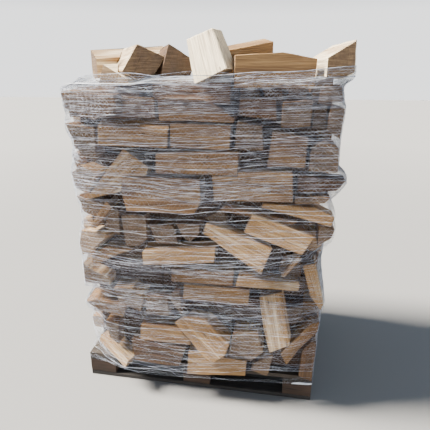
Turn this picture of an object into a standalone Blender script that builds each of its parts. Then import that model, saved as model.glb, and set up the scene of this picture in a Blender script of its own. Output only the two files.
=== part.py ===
"""A pallet of split firewood held by a wound net, for Blender 4.5. Metres, +Z up.

The load's front faces -Y. The origin is on the floor, under the middle of the pallet.
The pallet, the logs of the front and the loose logs on top are separate solids. The logs
behind them, with the back, the sides and the top course, are one solid of their form.
"""

import math
import random

import bmesh
import bpy
from mathutils import Matrix, Vector
from mathutils.bvhtree import BVHTree

# Four-way pallet of 1200 by 800 mm
PALLET_LONG = 1.200
PALLET_DEEP = 0.800
BOARD = 0.022
BLOCK_TALL = 0.078
WIDE = 0.145
NARROW = 0.100
EDGE_WEAR = 0.002
GAP = 0.0003
DECK_TOP = 3 * BOARD + BLOCK_TALL

# The stack on it
LOG_LONG = 0.33
STACK_FOOT = DECK_TOP + 0.002
STACK_TOP = 1.590
SIDE_X = 0.600
BACK_Y = 0.450
CORE_INSET = 0.115
CORE_FRONT = -0.365
TOP_FRONT = -0.425
TOP_INSET = 0.020
TOP_TALL = 0.115
TOP_DROP = (0.050, 0.0, 0.005)
COURSE_LOW = 0.090
COURSE_HIGH = 0.135
THROWN_DEEP = 0.075
THROWN_TALL = 0.100
THROWN_PROUD = 0.018
CLEARANCE = 0.001
LAID_SHARE = 0.62
LAID_DEEP = (0.100, 0.120)
PROUD = (-0.020, 0.012)
SET_BACK = 0.008
LAP = 0.004
ROW_GAP = 0.008
END_GAP = 0.012
BAND_SPLITS = (0.62, 1.06)
BAND_SHIFT = 0.08
COURSE_FOOT = STACK_FOOT + 0.006
TOP_UNEVEN = 0.018
BACK_BAYS = (0.345, 0.345, 0.345, 0.160)
SIDE_BAYS = ((0.335, 0.335), (0.165, 0.340, 0.165), (0.335, 0.165, 0.165))
BACK_CORNER_DEEP = 0.130
HEAP_SEED = 41

# The front is drawn on one upright plane, as it is seen from the viewer's eye
DRAWN_Y = -0.45
EYE = Vector((0.39, -2.10, 1.58))

# The net, a sleeve round everything up to its rim
NET_FOOT = 0.103
NET_RIM = 1.600
NET_RING_STEP = 0.062
NET_SIDES = 20
NET_CLEAR = 0.007
NET_WALL = 0.003
NET_FOLD = 0.045

FRESH_WOOD = (0.62, 0.42, 0.22)
OLD_WOOD = (0.10, 0.075, 0.055)
NET_WHITE = (0.80, 0.84, 0.90)

# The front logs that stand free: outline of the face as drawn (x, z), the y of the face,
# how deep the log goes, how much its back is wider and higher, how far it turns about z
# (swing) and how far its face leans back (lean), both in degrees
FRONT_LOGS = [
    dict(face=[(-0.155, 1.178), (0.205, 1.180), (0.210, 1.285), (-0.152, 1.272)], y=-0.462, deep=0.110),
    dict(
        face=[(0.105, 1.065), (0.445, 1.075), (0.435, 1.203), (0.095, 1.200)],
        y=-0.458,
        deep=0.110,
        lean=-3,
    ),
    dict(
        face=[
            (-0.300, 0.995), (0.015, 1.000), (0.045, 1.060),
            (0.040, 1.162), (-0.315, 1.155), (-0.325, 1.090),
        ],
        y=-0.465,
        deep=0.120,
        lean=4,
    ),
    dict(
        face=[(-0.412, 1.292), (-0.100, 1.288), (-0.093, 1.362), (-0.408, 1.378)],
        y=-0.462,
        deep=0.115,
        back=1.05,
        rise=0.055,
    ),
    dict(
        face=[(-0.085, 1.292), (0.170, 1.288), (0.175, 1.394), (-0.080, 1.398)],
        y=-0.455,
        deep=0.110,
        lean=-4,
    ),
    dict(
        face=[(-0.130, 1.406), (0.185, 1.402), (0.192, 1.420), (0.060, 1.498), (-0.130, 1.502)],
        y=-0.460,
        deep=0.110,
        lean=-5,
    ),
    dict(
        face=[(-0.495, 1.045), (-0.335, 1.085), (-0.205, 1.158), (-0.190, 1.205), (-0.297, 1.285)],
        y=-0.450,
        deep=0.100,
        swing=4,
    ),
    dict(
        face=[(-0.565, 1.450), (-0.420, 1.402), (-0.302, 1.452), (-0.310, 1.512), (-0.580, 1.522)],
        y=-0.448,
        deep=0.210,
        rise=0.018,
        swing=-10,
    ),
    dict(
        face=[(-0.562, 1.390), (-0.505, 1.255), (-0.432, 1.218), (-0.418, 1.300), (-0.422, 1.372)],
        y=-0.448,
        deep=0.200,
        back=0.95,
    ),
    dict(
        face=[(-0.568, 1.165), (-0.550, 1.088), (-0.505, 1.075), (-0.415, 1.172), (-0.505, 1.208)],
        y=-0.430,
        deep=0.220,
        swing=-14,
    ),
    dict(
        face=[(0.500, 1.215), (0.618, 1.208), (0.612, 1.312), (0.550, 1.345), (0.500, 1.305)],
        y=-0.445,
        deep=0.230,
    ),
    dict(
        face=[(0.235, 0.925), (0.500, 0.838), (0.550, 0.920), (0.270, 1.012)],
        y=-0.470,
        deep=0.090,
        lean=10,
        back=0.9,
    ),
    dict(
        face=[(0.050, 0.905), (0.325, 0.735), (0.370, 0.860), (0.200, 0.915), (0.065, 0.957)],
        y=-0.476,
        deep=0.085,
        lean=12,
        back=0.88,
    ),
    dict(
        face=[(0.310, 1.045), (0.610, 0.975), (0.622, 1.020), (0.540, 1.060), (0.320, 1.066)],
        y=-0.452,
        deep=0.100,
        lean=8,
    ),
    dict(
        face=[(-0.332, 0.975), (-0.320, 0.820), (-0.250, 0.825), (-0.212, 0.860), (-0.212, 0.980)],
        y=-0.440,
        deep=0.310,
        swing=3,
    ),
    dict(
        face=[(-0.075, 0.950), (-0.035, 0.875), (-0.005, 0.862), (0.038, 0.905), (0.042, 0.952)],
        y=-0.435,
        deep=0.320,
        swing=-3,
    ),
    dict(
        face=[
            (-0.570, 0.812), (-0.550, 0.755), (-0.505, 0.772),
            (-0.402, 0.868), (-0.415, 0.895), (-0.556, 0.880),
        ],
        y=-0.435,
        deep=0.170,
        swing=-16,
        lean=8,
    ),
    dict(
        face=[(-0.238, 0.728), (0.105, 0.765), (0.108, 0.828), (-0.242, 0.794)],
        y=-0.474,
        deep=0.095,
        lean=6,
        rise=0.012,
    ),
    dict(
        face=[(-0.105, 0.650), (0.195, 0.652), (0.198, 0.732), (-0.100, 0.716)],
        y=-0.458,
        deep=0.105,
        lean=2,
    ),
    dict(
        face=[(-0.050, 0.560), (0.268, 0.555), (0.272, 0.642), (-0.040, 0.640)],
        y=-0.462,
        deep=0.105,
        lean=4,
    ),
    dict(
        face=[(0.205, 0.652), (0.495, 0.654), (0.500, 0.690), (0.220, 0.707)],
        y=-0.470,
        deep=0.085,
        lean=10,
    ),
    dict(
        face=[(0.315, 0.595), (0.345, 0.430), (0.380, 0.312), (0.475, 0.370), (0.420, 0.635)],
        y=-0.474,
        deep=0.085,
        lean=6,
        swing=-5,
    ),
    dict(
        face=[
            (0.430, 0.315), (0.465, 0.245), (0.515, 0.330),
            (0.600, 0.440), (0.605, 0.500), (0.570, 0.490),
        ],
        y=-0.452,
        deep=0.090,
        swing=6,
    ),
    dict(
        face=[
            (-0.110, 0.400),
            (0.060, 0.235),
            (0.110, 0.218),
            (0.165, 0.270),
            (0.185, 0.335),
            (0.060, 0.440),
            (-0.050, 0.447),
        ],
        y=-0.478,
        deep=0.105,
        lean=8,
        swing=-6,
        back=0.9,
    ),
    dict(
        face=[(0.175, 0.265), (0.290, 0.248), (0.350, 0.300), (0.320, 0.400), (0.200, 0.400)],
        y=-0.450,
        deep=0.300,
        lean=5,
    ),
    dict(
        face=[(-0.036, 0.124), (0.265, 0.150), (0.268, 0.234), (-0.030, 0.252)],
        y=-0.476,
        deep=0.115,
        lean=6,
    ),
    dict(
        face=[(-0.280, 0.304), (-0.010, 0.298), (-0.030, 0.360), (-0.090, 0.378), (-0.275, 0.388)],
        y=-0.464,
        deep=0.100,
        lean=5,
    ),
    dict(face=[(-0.320, 0.160), (-0.080, 0.154), (-0.042, 0.284), (-0.330, 0.298)], y=-0.446, deep=0.120),
    dict(
        face=[(-0.535, 0.235), (-0.345, 0.150), (-0.330, 0.192), (-0.450, 0.246), (-0.530, 0.272)],
        y=-0.448,
        deep=0.090,
        swing=-20,
        lean=14,
    ),
    dict(
        face=[(-0.557, 0.505), (-0.500, 0.455), (-0.370, 0.410), (-0.345, 0.485), (-0.500, 0.525)],
        y=-0.448,
        deep=0.150,
        lean=-8,
        swing=6,
    ),
]

# The loose logs on top, drawn in the same way
TOP_LOGS = [
    dict(
        face=[(0.186, 1.537), (0.500, 1.537), (0.505, 1.648), (0.370, 1.672), (0.188, 1.660)],
        y=-0.440,
        deep=0.125,
        swing=9,
    ),
    dict(
        face=[(-0.275, 1.600), (-0.205, 1.564), (-0.130, 1.598), (-0.090, 1.660), (-0.205, 1.706)],
        y=-0.400,
        deep=0.290,
        swing=32,
    ),
    dict(
        face=[(-0.115, 1.575), (0.010, 1.575), (0.030, 1.630), (0.010, 1.655), (-0.075, 1.705)],
        y=-0.350,
        deep=0.300,
        swing=24,
        back=0.95,
    ),
    dict(
        face=[(-0.028, 1.722), (0.008, 1.630), (0.040, 1.548), (0.175, 1.610), (0.085, 1.762)],
        y=-0.440,
        deep=0.095,
        swing=-16,
        lean=20,
    ),
    dict(
        face=[(0.532, 1.575), (0.600, 1.572), (0.646, 1.594), (0.640, 1.714), (0.532, 1.650)],
        y=-0.425,
        deep=0.320,
        swing=10,
    ),
    dict(
        face=[(-0.400, 1.545), (-0.238, 1.545), (-0.250, 1.575), (-0.365, 1.632)],
        y=-0.415,
        deep=0.250,
        swing=-14,
        rise=0.018,
    ),
    dict(
        face=[(-0.372, 1.548), (-0.062, 1.560), (-0.062, 1.672), (-0.372, 1.646)],
        y=-0.190,
        deep=0.100,
        swing=38,
        rise=0.042,
    ),
    dict(
        face=[(0.130, 1.578), (0.345, 1.578), (0.346, 1.712), (0.132, 1.672)],
        y=-0.230,
        deep=0.100,
        swing=28,
        rise=0.020,
    ),
]

# Front logs that are part of the stack's one solid
BACKED_LOGS = [
    dict(
        face=[(-0.405, 0.590), (-0.380, 0.505), (-0.270, 0.465), (-0.250, 0.550), (-0.310, 0.600)],
        y=-0.452,
        deep=0.30,
    ),
    dict(
        face=[(-0.112, 0.550), (-0.060, 0.462), (-0.058, 0.548), (-0.060, 0.600), (-0.100, 0.600)],
        y=-0.448,
        deep=0.30,
    ),
    dict(face=[(-0.240, 0.560), (-0.240, 0.450), (-0.120, 0.456), (-0.122, 0.560)], y=-0.430, deep=0.30),
    dict(face=[(-0.462, 0.400), (-0.450, 0.290), (-0.400, 0.250), (-0.392, 0.388)], y=-0.440, deep=0.14),
    dict(face=[(0.290, 0.185), (0.375, 0.160), (0.400, 0.285), (0.310, 0.240)], y=-0.446, deep=0.30),
    dict(face=[(-0.205, 0.940), (-0.165, 0.842), (-0.060, 0.845), (-0.085, 0.940)], y=-0.430, deep=0.30),
    dict(face=[(-0.420, 0.905), (-0.345, 0.870), (-0.340, 1.000), (-0.390, 1.020)], y=-0.425, deep=0.30),
    dict(face=[(0.130, 1.022), (0.440, 0.968), (0.470, 0.988), (0.150, 1.050)], y=-0.425, deep=0.10),
    dict(face=[(0.450, 1.070), (0.575, 1.077), (0.600, 1.105), (0.450, 1.103)], y=-0.448, deep=0.20),
    dict(face=[(0.455, 1.118), (0.620, 1.132), (0.655, 1.182), (0.460, 1.196)], y=-0.430, deep=0.12),
    dict(face=[(0.560, 0.880), (0.618, 0.920), (0.630, 0.968), (0.560, 0.980)], y=-0.440, deep=0.20),
    dict(
        face=[(0.505, 0.785), (0.550, 0.630), (0.600, 0.565), (0.614, 0.600), (0.560, 0.800)],
        y=-0.448,
        deep=0.12,
    ),
    dict(
        face=[(0.525, 0.180), (0.592, 0.158), (0.600, 0.385), (0.572, 0.400), (0.530, 0.330)],
        y=-0.430,
        deep=0.12,
    ),
    dict(face=[(0.375, 1.385), (0.495, 1.390), (0.498, 1.496), (0.380, 1.490)], y=-0.440, deep=0.28),
    dict(face=[(0.205, 1.432), (0.360, 1.415), (0.352, 1.500), (0.210, 1.502)], y=-0.430, deep=0.12),
    dict(face=[(0.190, 1.292), (0.312, 1.290), (0.300, 1.392), (0.200, 1.412)], y=-0.440, deep=0.28),
    dict(face=[(0.328, 1.225), (0.485, 1.225), (0.488, 1.350), (0.345, 1.372)], y=-0.432, deep=0.12),
    dict(face=[(0.410, 0.722), (0.430, 0.718), (0.500, 0.815), (0.480, 0.830)], y=-0.450, deep=0.10),
    dict(face=[(-0.500, 0.905), (-0.462, 0.900), (-0.375, 1.010), (-0.400, 1.040)], y=-0.455, deep=0.12),
    dict(
        face=[(-0.553, 0.605), (-0.420, 0.600), (-0.415, 0.645), (-0.500, 0.680), (-0.553, 0.720)],
        y=-0.435,
        deep=0.22,
    ),
    dict(
        face=[(-0.545, 1.060), (-0.500, 0.970), (-0.420, 0.960), (-0.410, 1.030), (-0.500, 1.045)],
        y=-0.425,
        deep=0.26,
    ),
    dict(
        face=[(-0.500, 0.700), (-0.360, 0.772), (-0.290, 0.800), (-0.420, 0.815), (-0.500, 0.765)],
        y=-0.440,
        deep=0.14,
    ),
    dict(face=[(-0.290, 1.420), (-0.145, 1.415), (-0.145, 1.500), (-0.285, 1.505)], y=-0.430, deep=0.12),
    dict(face=[(0.555, 1.375), (0.612, 1.345), (0.620, 1.465), (0.565, 1.480)], y=-0.420, deep=0.22),
    dict(face=[(0.515, 1.480), (0.610, 1.490), (0.600, 1.552), (0.520, 1.548)], y=-0.420, deep=0.22),
    dict(face=[(0.420, 0.560), (0.520, 0.575), (0.535, 0.500), (0.470, 0.470)], y=-0.400, deep=0.30),
    dict(face=[(0.400, 0.740), (0.500, 0.725), (0.500, 0.800), (0.420, 0.830)], y=-0.405, deep=0.10),
    dict(face=[(0.060, 0.985), (0.150, 1.030), (0.170, 0.960), (0.090, 0.965)], y=-0.400, deep=0.30),
]

# Ends of split logs as outlines one unit wide and high
SECTIONS = [
    [(-0.50, -0.50), (0.46, -0.44), (0.50, 0.40), (-0.44, 0.50)],
    [(-0.50, -0.50), (0.50, -0.36), (0.42, 0.20), (-0.10, 0.50), (-0.46, 0.42)],
    [(-0.50, -0.48), (0.30, -0.50), (0.50, -0.10), (0.36, 0.30), (-0.06, 0.50), (-0.40, 0.46)],
    [(-0.50, -0.20), (-0.20, -0.50), (0.34, -0.46), (0.50, 0.50), (-0.36, 0.44)],
    [(-0.46, -0.50), (0.50, -0.42), (0.40, 0.36), (-0.50, 0.50)],
]


def material(name, colour, roughness):
    made = bpy.data.materials.new(name)
    made.use_nodes = True
    shader = made.node_tree.nodes["Principled BSDF"]
    shader.inputs["Base Color"].default_value = (*colour, 1.0)
    shader.inputs["Roughness"].default_value = roughness
    shader.inputs["Metallic"].default_value = 0.0
    made.diffuse_color = (*colour, 1.0)
    return made


def new_object(name, mesh, look):
    made = bpy.data.objects.new(name, mesh)
    bpy.context.scene.collection.objects.link(made)
    mesh.materials.clear()
    mesh.materials.append(look)
    return made


def loft(name, rings, open_loop=False):
    """A closed mesh through rings of equal count. An open loop joins its last ring to its first."""
    bm = bmesh.new()
    loops = [[bm.verts.new(point) for point in ring] for ring in rings]
    count = len(rings[0])
    pairs = list(zip(loops, loops[1:]))
    if open_loop:
        pairs.append((loops[-1], loops[0]))
    else:
        bm.faces.new(reversed(loops[0]))
        bm.faces.new(loops[-1])
    for lower, upper in pairs:
        for i in range(count):
            j = (i + 1) % count
            bm.faces.new((lower[i], lower[j], upper[j], upper[i]))
    bmesh.ops.recalc_face_normals(bm, faces=bm.faces)
    mesh = bpy.data.meshes.new(name)
    bm.to_mesh(mesh)
    bm.free()
    return mesh


# Pallet


def timber(name, low, high, look):
    """A board or block with worn edges, from its lowest to its highest corner."""
    size = Vector(high) - Vector(low)
    bm = bmesh.new()
    bmesh.ops.create_cube(bm, size=1.0)
    bmesh.ops.scale(bm, vec=size, verts=bm.verts)
    mesh = bpy.data.meshes.new(name)
    bm.to_mesh(mesh)
    bm.free()
    made = new_object(name, mesh, look)
    made.location = (Vector(low) + Vector(high)) / 2
    worn = made.modifiers.new("worn_edges", "BEVEL")
    worn.width = EDGE_WEAR
    worn.segments = 1
    return made


def build_pallet(look):
    half_long = PALLET_LONG / 2
    half_deep = PALLET_DEEP / 2
    block_columns = [-half_long + WIDE / 2, 0.0, half_long - WIDE / 2]
    block_rows = [(-half_deep + NARROW / 2, NARROW), (0.0, WIDE), (half_deep - NARROW / 2, NARROW)]
    block_foot = BOARD
    stringer_foot = block_foot + BLOCK_TALL
    deck_foot = stringer_foot + BOARD
    for number, (y, width) in enumerate(block_rows, 1):
        low = (-half_long, y - width / 2, 0.0)
        high = (half_long, y + width / 2, BOARD - GAP)
        timber(f"bottom_board_{number}", low, high, look)
        for column, x in enumerate(block_columns, 1):
            low = (x - WIDE / 2, y - width / 2, block_foot)
            high = (x + WIDE / 2, y + width / 2, stringer_foot - GAP)
            timber(f"block_{number}_{column}", low, high, look)
    for number, x in enumerate(block_columns, 1):
        low = (x - WIDE / 2, -half_deep, stringer_foot)
        high = (x + WIDE / 2, half_deep, deck_foot - GAP)
        timber(f"stringer_{number}", low, high, look)
    widths = [WIDE, NARROW, WIDE, NARROW, WIDE]
    slot = (PALLET_DEEP - sum(widths)) / (len(widths) - 1)
    y = -half_deep
    for number, width in enumerate(widths, 1):
        timber(f"deck_board_{number}", (-half_long, y, deck_foot), (half_long, y + width, DECK_TOP), look)
        y += width + slot


# Logs


def on_sight(x, z, y):
    """The point at depth y that is seen where (x, z) is drawn on the front plane."""
    share = (y - EYE.y) / (DRAWN_Y - EYE.y)
    return Vector((EYE.x + (x - EYE.x) * share, y, EYE.z + (z - EYE.z) * share))


def grown_outline(points, grow):
    """The outline with every side moved outwards by grow. It lies upright and is convex."""
    turns = [a.x * b.z - a.z * b.x for a, b in zip(points, points[1:] + points[:1])]
    side = 1.0 if sum(turns) > 0 else -1.0
    made = []
    for before, here, after in zip(points[-1:] + points[:-1], points, points[1:] + points[:1]):
        into = (here - before).normalized()
        away = (after - here).normalized()
        out_before = Vector((into.z, 0.0, -into.x)) * side
        out_after = Vector((away.z, 0.0, -away.x)) * side
        both = out_before + out_after
        made.append(here + both * (2.0 * grow / both.length_squared))
    return made


def drawn_log(name, face, y, deep, back=1.0, rise=0.0, swing=0.0, lean=0.0, grow=0.0):
    """The mesh of a log drawn by its face. It turns about the middle of that face."""
    front = [on_sight(px, pz, y) for px, pz in face]
    middle = sum(front, Vector()) / len(front)
    around = grown_outline([p - middle for p in front], grow)
    turn = Matrix.Rotation(math.radians(swing), 4, "Z")
    rings = []
    for depth, scale, lift in ((-grow, 1.0, 0.0), (deep + grow, back, rise)):
        ring = []
        for p in around:
            set_back = p.z * math.tan(math.radians(lean))
            ring.append(middle + turn @ (p * scale + Vector((0.0, depth + set_back, lift))))
        rings.append(ring)
    return loft(name, rings)


def split_log(name, place, length, width, height, section, flip):
    """The mesh of a log whose length runs along x before place, a matrix, sets it down."""
    outline = [(u * width * flip[0], v * height * flip[1]) for u, v in section]
    rings = [[place @ Vector((x, u, v)) for u, v in outline] for x in (-length / 2, length / 2)]
    return loft(name, rings)


def log_pose(middle, heading, tilt=0.0, roll=0.0):
    """A log's place: its length points along heading about z, and its end lifts by tilt."""
    turn = Matrix.Rotation(math.radians(heading), 4, "Z")
    turn = turn @ Matrix.Rotation(math.radians(-tilt), 4, "Y")
    turn = turn @ Matrix.Rotation(math.radians(roll), 4, "X")
    return Matrix.Translation(middle) @ turn


def random_log(dice, place, length, width, height):
    """The arguments of one split log of a random section."""
    flip = (dice.choice((-1, 1)), dice.choice((-1, 1)))
    return dict(
        place=place,
        length=length,
        width=width,
        height=height,
        section=dice.choice(SECTIONS),
        flip=flip,
    )


def thrown_logs(dice, reach, foot, head, number):
    """Logs that lie askew over one side, as (across, z, tilt) of their middles."""
    places = []
    for i in range(number):
        z = foot + (i + dice.uniform(0.2, 0.8)) * (head - foot) / number
        tilt = dice.choice((-1, 1)) * dice.uniform(22, 75)
        places.append((dice.uniform(-reach, reach), z, tilt))
    return places


def lies_behind(thrown, across, z, half_long, half_tall):
    """Whether a log of a course, in the side's own plane, is behind one that lies askew."""
    for a, up, tilt in thrown:
        c, s = math.cos(math.radians(tilt)), math.sin(math.radians(tilt))
        for i in range(-4, 5):
            for j in (-1, 0, 1):
                da = across + half_long * i / 4 - a
                dz = z + half_tall * j - up
                if abs(da * c + dz * s) < LOG_LONG / 2 and abs(dz * c - da * s) < THROWN_TALL / 2:
                    return True
    return False


def side_courses(dice, heading, plane, low, high, bays, thrown, corner_deep):
    """Logs of one upright side. Its plane lies at that distance along heading, and bays are
    the widths of the stack's piles across it. Each pile is filled with courses."""
    out = Vector((math.cos(math.radians(heading)), math.sin(math.radians(heading)), 0.0))
    across = Vector((-out.y, out.x, 0.0))
    logs = []
    start = -sum(bays) / 2
    for bay in bays:
        at_corner = abs(start + bay / 2) + bay / 2 > sum(bays) / 2 - 0.01
        z = low
        while z < high - COURSE_LOW:
            tall = min(dice.uniform(COURSE_LOW, COURSE_HIGH), high - z)
            laid_across = bay > 0.25 and dice.random() < LAID_SHARE
            number = 1 if laid_across else max(1, round(bay / dice.uniform(0.105, 0.135)))
            wide = bay / number
            for i in range(number):
                at = start + (i + 0.5) * wide
                proud = dice.uniform(*PROUD)
                if lies_behind(thrown, at, z + tall / 2, wide / 2, tall / 2):
                    proud = THROWN_PROUD - THROWN_DEEP + dice.uniform(-SET_BACK, SET_BACK)
                if laid_across:
                    tilt = dice.uniform(-5, 5)
                    deep = max(dice.uniform(*LAID_DEEP), CORE_INSET + proud + LAP)
                    length = min(bay - ROW_GAP, LOG_LONG + dice.uniform(-0.015, 0.012))
                    height = tall - LAP - length * abs(math.sin(math.radians(tilt))) / 2
                    middle = across * at + out * (plane + proud - deep / 2)
                    place = log_pose(middle + Vector((0, 0, z + tall / 2)), heading + 90, tilt)
                    logs.append(random_log(dice, place, length, deep, height))
                else:
                    deep = corner_deep if at_corner else LOG_LONG
                    middle = across * at + out * (plane + proud - deep / 2)
                    roll = dice.uniform(-6, 6)
                    place = log_pose(middle + Vector((0, 0, z + tall / 2)), heading, 0, roll)
                    logs.append(random_log(dice, place, deep, wide - END_GAP, tall - END_GAP))
            z += tall
        start += bay
    return logs


def askew_logs(dice, heading, plane, thrown):
    """The logs that lie askew over one side."""
    out = Vector((math.cos(math.radians(heading)), math.sin(math.radians(heading)), 0.0))
    across = Vector((-out.y, out.x, 0.0))
    logs = []
    for a, z, tilt in thrown:
        middle = across * a + out * (plane + THROWN_PROUD - THROWN_DEEP / 2)
        place = log_pose(middle + Vector((0, 0, z)), heading + 90, tilt)
        logs.append(random_log(dice, place, LOG_LONG, THROWN_DEEP, THROWN_TALL))
    return logs


def top_course(dice):
    """Logs lying flat over the whole top, in piles whose logs run one way."""
    span = 2 * (SIDE_X - TOP_INSET) / 3
    depth = (BACK_Y - TOP_INSET - TOP_FRONT) / 2
    logs = []
    for column in range(3):
        for row in range(2):
            corner = Vector((-SIDE_X + TOP_INSET + column * span, TOP_FRONT + row * depth, 0.0))
            along_x = dice.random() < 0.5
            length, cross = (span, depth) if along_x else (depth, span)
            number = round(cross / dice.uniform(0.095, 0.120))
            wide = cross / number
            for i in range(number):
                along = dice.uniform(0.0, length - LOG_LONG) + LOG_LONG / 2
                over = (i + 0.5) * wide
                middle = corner + Vector((along, over, 0.0) if along_x else (over, along, 0.0))
                middle.z = STACK_TOP - TOP_TALL / 2 + dice.uniform(-TOP_UNEVEN, 0.0) - TOP_DROP[column]
                place = log_pose(middle, 0 if along_x else 90, dice.uniform(-2, 2))
                logs.append(random_log(dice, place, LOG_LONG, wide - ROW_GAP, TOP_TALL))
    return logs


def stack_logs():
    """Every log that is drawn by the rule of courses: the back, both sides and the top."""
    dice = random.Random(HEAP_SEED)
    low = COURSE_FOOT
    high = STACK_TOP - TOP_TALL
    logs = []
    for heading, plane, reach, corner_deep in (
        (90, BACK_Y, 0.42, BACK_CORNER_DEEP),
        (0, SIDE_X, 0.16, LOG_LONG),
        (180, SIDE_X, 0.16, LOG_LONG),
    ):
        splits = [at + dice.uniform(-BAND_SHIFT, BAND_SHIFT) for at in BAND_SPLITS]
        levels = [low, *splits, high]
        thrown = thrown_logs(dice, reach, low + 0.12, high - 0.12, 5 if heading == 90 else 3)
        logs += askew_logs(dice, heading, plane, thrown)
        for foot, head in zip(levels, levels[1:]):
            bays = list(BACK_BAYS if heading == 90 else dice.choice(SIDE_BAYS))
            dice.shuffle(bays)
            logs += side_courses(dice, heading, plane, foot, head, bays, thrown, corner_deep)
    return logs + top_course(dice)


# Cutting and joining


def tool(mesh, collection, look):
    """An object that only cuts or joins. It shows as wire and isn't part of the model."""
    made = bpy.data.objects.new(mesh.name, mesh)
    if not mesh.materials:
        mesh.materials.append(look)
    made.hide_render = True
    made.display_type = "WIRE"
    collection.objects.link(made)
    return made


def cut(made, operation, collection):
    step = made.modifiers.new(operation.lower(), "BOOLEAN")
    step.operation = operation
    step.operand_type = "COLLECTION"
    step.collection = collection
    step.solver = "EXACT"


def settle(made):
    """Applies the modifiers and keeps the largest piece of what they leave."""
    graph = bpy.context.evaluated_depsgraph_get()
    mesh = bpy.data.meshes.new_from_object(made.evaluated_get(graph))
    made.modifiers.clear()
    made.data = mesh
    bm = bmesh.new()
    bm.from_mesh(mesh)
    islands = []
    unseen = set(bm.verts)
    while unseen:
        reached = [unseen.pop()]
        for vert in reached:
            for edge in vert.link_edges:
                other = edge.other_vert(vert)
                if other in unseen:
                    unseen.remove(other)
                    reached.append(other)
        islands.append(reached)
    islands.sort(key=len)
    for island in islands[:-1]:
        bmesh.ops.delete(bm, geom=island, context="VERTS")
    bm.to_mesh(mesh)
    bm.free()


def new_collection(name):
    made = bpy.data.collections.new(name)
    bpy.context.scene.collection.children.link(made)
    return made


def touches(mesh, other):
    trees = []
    for each in (mesh, other):
        points = [v.co for v in each.vertices]
        trees.append(BVHTree.FromPolygons(points, [list(p.vertices) for p in each.polygons]))
    return bool(trees[0].overlap(trees[1]))


def pallet_room():
    """What the pallet takes up, with its clearance."""
    half_long = PALLET_LONG / 2
    half_deep = PALLET_DEEP / 2
    corners = [
        (-half_long, -half_deep),
        (half_long, -half_deep),
        (half_long, half_deep),
        (-half_long, half_deep),
    ]
    return loft("pallet_room", [[Vector((x, y, z)) for x, y in corners] for z in (0.0, STACK_FOOT)])


def free_logs(look):
    """The separate logs, each with the mesh that cuts its room. Where one would run into
    the pallet or a log made before it, it is cut back."""
    made = []
    base = pallet_room()
    entries = [(f"top_log_{n}", entry) for n, entry in enumerate(TOP_LOGS, 1)]
    entries += [(f"front_log_{n:02d}", entry) for n, entry in enumerate(FRONT_LOGS, 1)]
    for name, entry in entries:
        log = new_object(name, drawn_log(name, **entry), look)
        near = [room for room in (base, *(room for _, room in made)) if touches(log.data, room)]
        if near:
            cutters = new_collection(name + "_cutters")
            for room in near:
                tool(room, cutters, look)
            cut(log, "DIFFERENCE", cutters)
            settle(log)
        made.append((log, drawn_log(name + "_room", **entry, grow=CLEARANCE)))
    return made


def build_stack(rooms, look):
    """The stack's one solid: a core, the logs that stand out of it, and room for the free ones."""
    low = Vector((-SIDE_X + CORE_INSET, CORE_FRONT, STACK_FOOT))
    high = Vector((SIDE_X - CORE_INSET, BACK_Y - CORE_INSET, STACK_TOP - CORE_INSET))
    bm = bmesh.new()
    bmesh.ops.create_cube(bm, size=1.0)
    bmesh.ops.scale(bm, vec=high - low, verts=bm.verts)
    bmesh.ops.translate(bm, vec=(high + low) / 2, verts=bm.verts)
    mesh = bpy.data.meshes.new("stacked_logs")
    bm.to_mesh(mesh)
    bm.free()
    stack = new_object("stacked_logs", mesh, look)
    added = new_collection("stack_additions")
    for number, entry in enumerate(BACKED_LOGS):
        tool(drawn_log(f"backed_log_{number}", **entry), added, look)
    for number, entry in enumerate(stack_logs()):
        tool(split_log(f"course_log_{number}", **entry), added, look)
    cut(stack, "UNION", added)
    removed = new_collection("stack_cutters")
    for room in (pallet_room(), *rooms):
        tool(room, removed, look)
    cut(stack, "DIFFERENCE", removed)
    settle(stack)
    return stack


# Net


def band_reach(objects, low, high, directions):
    """How far everything between two heights reaches in each direction."""
    reach = [0.0] * len(directions)
    for made in objects:
        points = [made.matrix_world @ v.co for v in made.data.vertices]
        for edge in made.data.edges:
            a, b = (points[i] for i in edge.vertices)
            if a.z > b.z:
                a, b = b, a
            if b.z < low or a.z > high:
                continue
            climb = max(b.z - a.z, 1e-9)
            ends = [a.lerp(b, max(0.0, (low - a.z) / climb)), a.lerp(b, min(1.0, (high - a.z) / climb))]
            for k, (dx, dy) in enumerate(directions):
                for p in ends:
                    reach[k] = max(reach[k], p.x * dx + p.y * dy)
    return reach


def net_ring(reach, directions, offset, z):
    """The corners of the polygon whose sides touch that reach in every direction."""
    points = []
    for k, (ax, ay) in enumerate(directions):
        bx, by = directions[(k + 1) % len(directions)]
        ra = reach[k] + offset
        rb = reach[(k + 1) % len(directions)] + offset
        det = ax * by - ay * bx
        points.append(Vector(((ra * by - rb * ay) / det, (rb * ax - ra * bx) / det, z)))
    return points


def build_net(objects, look):
    """A sleeve pulled tight round the logs and the pallet's deck, open above and below."""
    step = 2 * math.pi / NET_SIDES
    directions = [(math.cos(k * step), math.sin(k * step)) for k in range(NET_SIDES)]
    count = round((NET_RIM - NET_FOOT) / NET_RING_STEP)
    heights = [NET_FOOT + (NET_RIM - NET_FOOT) * i / count for i in range(count + 1)]
    outer = []
    inner = []
    reach = [0.0] * NET_SIDES
    for i, z in enumerate(heights):
        low = heights[max(i - 1, 0)]
        high = heights[min(i + 1, count)]
        touched = band_reach(objects, low, high, directions)
        reach = [max(now, before - NET_FOLD) for now, before in zip(touched, reach)]
        inner.append(net_ring(reach, directions, NET_CLEAR, z))
        outer.append(net_ring(reach, directions, NET_CLEAR + NET_WALL, z))
    new_object("net_wrap", loft("net_wrap", outer + inner[::-1], open_loop=True), look)


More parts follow.
